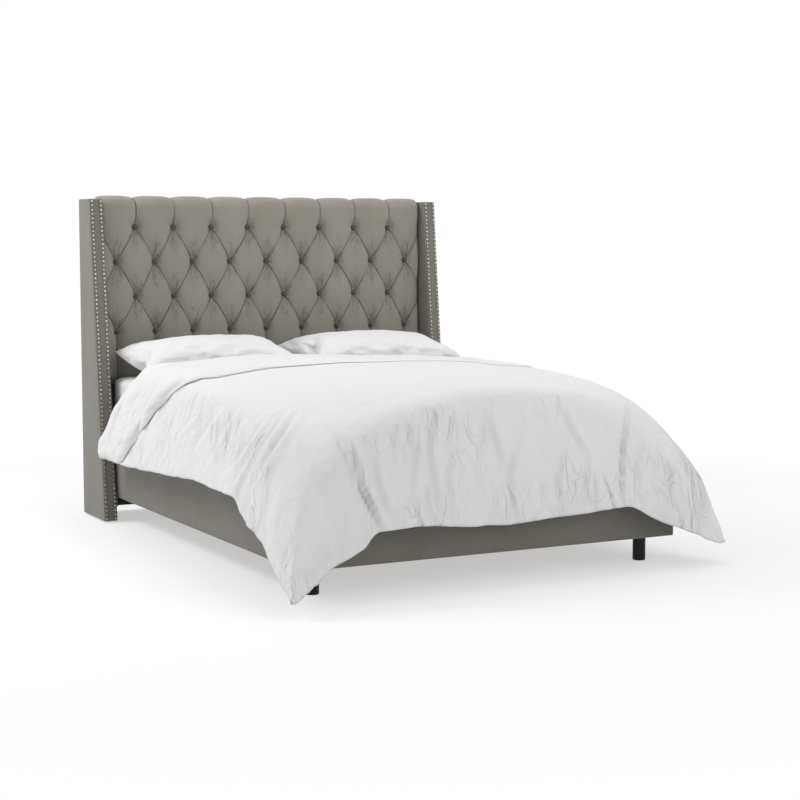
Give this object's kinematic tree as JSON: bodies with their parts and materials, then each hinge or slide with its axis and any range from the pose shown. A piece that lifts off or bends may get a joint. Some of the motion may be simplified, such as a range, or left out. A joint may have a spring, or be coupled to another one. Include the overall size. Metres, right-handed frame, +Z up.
{
  "type": "wingback bed",
  "caption": "Queen wingback bed: diamond-tufted winged headboard, padded rails, slats on a centre beam, and a mattress with pillows and duvet.",
  "frame": {"origin": "on the floor under the middle of the whole bed's box, bedding included", "axes": "+Z up; +Y from the foot to the headboard, along the bed; +X to the right for someone standing at the foot and looking at the headboard"},
  "size_m": [1.8451, 2.3969, 1.4258],
  "materials": {
    "grey_linen": "woven linen-look upholstery cloth, warm grey",
    "dust_cloth": "thin black dust cloth",
    "plywood": "raw plywood",
    "pine": "raw pine",
    "zinc_steel": "zinc-plated bolts",
    "black_steel": "black powder coat",
    "black_lacquer": "black lacquer on turned wood",
    "black_plastic": "moulded, matte",
    "mattress_ticking": "pale quilted ticking",
    "white_sheet": "white cotton percale",
    "white_pillow": "white cotton pillowcase",
    "white_duvet": "white cotton duvet cover"
  },
  "bodies": {
    "frame": {"headboard_post_left": "pine", "headboard_post_right": "pine", "headboard_top_rail": "pine", "headboard_middle_rail": "pine", "headboard_bottom_rail": "pine", "headboard_panel": "plywood", "headboard_tufted_cover": "grey_linen", "headboard_lower_cover": "grey_linen", "headboard_back_cover": "dust_cloth", "tuft_buttons": "grey_linen", "wing_core_left": "plywood", "wing_core_right": "plywood", "wing_cover_left": "grey_linen", "wing_cover_right": "grey_linen", "wing_bolts": "zinc_steel", "floor_glides": "black_plastic", "side_rail_board_left": "plywood", "side_rail_board_right": "plywood", "side_rail_cover_left": "grey_linen", "side_rail_cover_right": "grey_linen", "footboard_board": "plywood", "footboard_cover": "grey_linen", "head_bracket_left": "black_steel", "head_bracket_right": "black_steel", "foot_bracket_left": "black_steel", "foot_bracket_right": "black_steel", "bracket_bolts": "zinc_steel", "slat_cleat_left": "pine", "slat_cleat_right": "pine", "centre_beam": "pine", "beam_hanger_head": "black_steel", "beam_hanger_foot": "black_steel", "centre_leg_head": "black_steel", "centre_leg_foot": "black_steel", "foot_leg_left": "black_lacquer", "foot_leg_right": "black_lacquer", "corner_block_left": "plywood", "corner_block_right": "plywood", "leg_bolts": "zinc_steel", "slat_01": "pine", "slat_02": "pine", "slat_03": "pine", "slat_04": "pine", "slat_05": "pine", "slat_06": "pine", "slat_07": "pine", "slat_08": "pine", "slat_09": "pine", "slat_10": "pine", "slat_11": "pine", "slat_12": "pine"},
    "levelling_foot_head": {"levelling_foot_head": "black_plastic"},
    "levelling_foot_foot": {"levelling_foot_foot": "black_plastic"},
    "mattress": {"mattress": "mattress_ticking", "fitted_sheet": "white_sheet", "pillow_left": "white_pillow", "pillow_right": "white_pillow"},
    "duvet": {"duvet": "white_duvet"}
  },
  "joints": [
    {"name": "mattress_lift", "type": "slide", "parent": "frame", "child": "mattress", "axis": [0, 0, 1], "range_m": [0, 0.35]},
    {"name": "duvet_lift", "type": "slide", "parent": "mattress", "child": "duvet", "axis": [0, 0, 1], "range_m": [0, 0.45]},
    {"name": "levelling_screw_head", "type": "slide", "parent": "frame", "child": "levelling_foot_head", "axis": [0, 0, 1], "range_m": [-0.012, 0]},
    {"name": "levelling_screw_foot", "type": "slide", "parent": "frame", "child": "levelling_foot_foot", "axis": [0, 0, 1], "range_m": [-0.012, 0]}
  ]
}
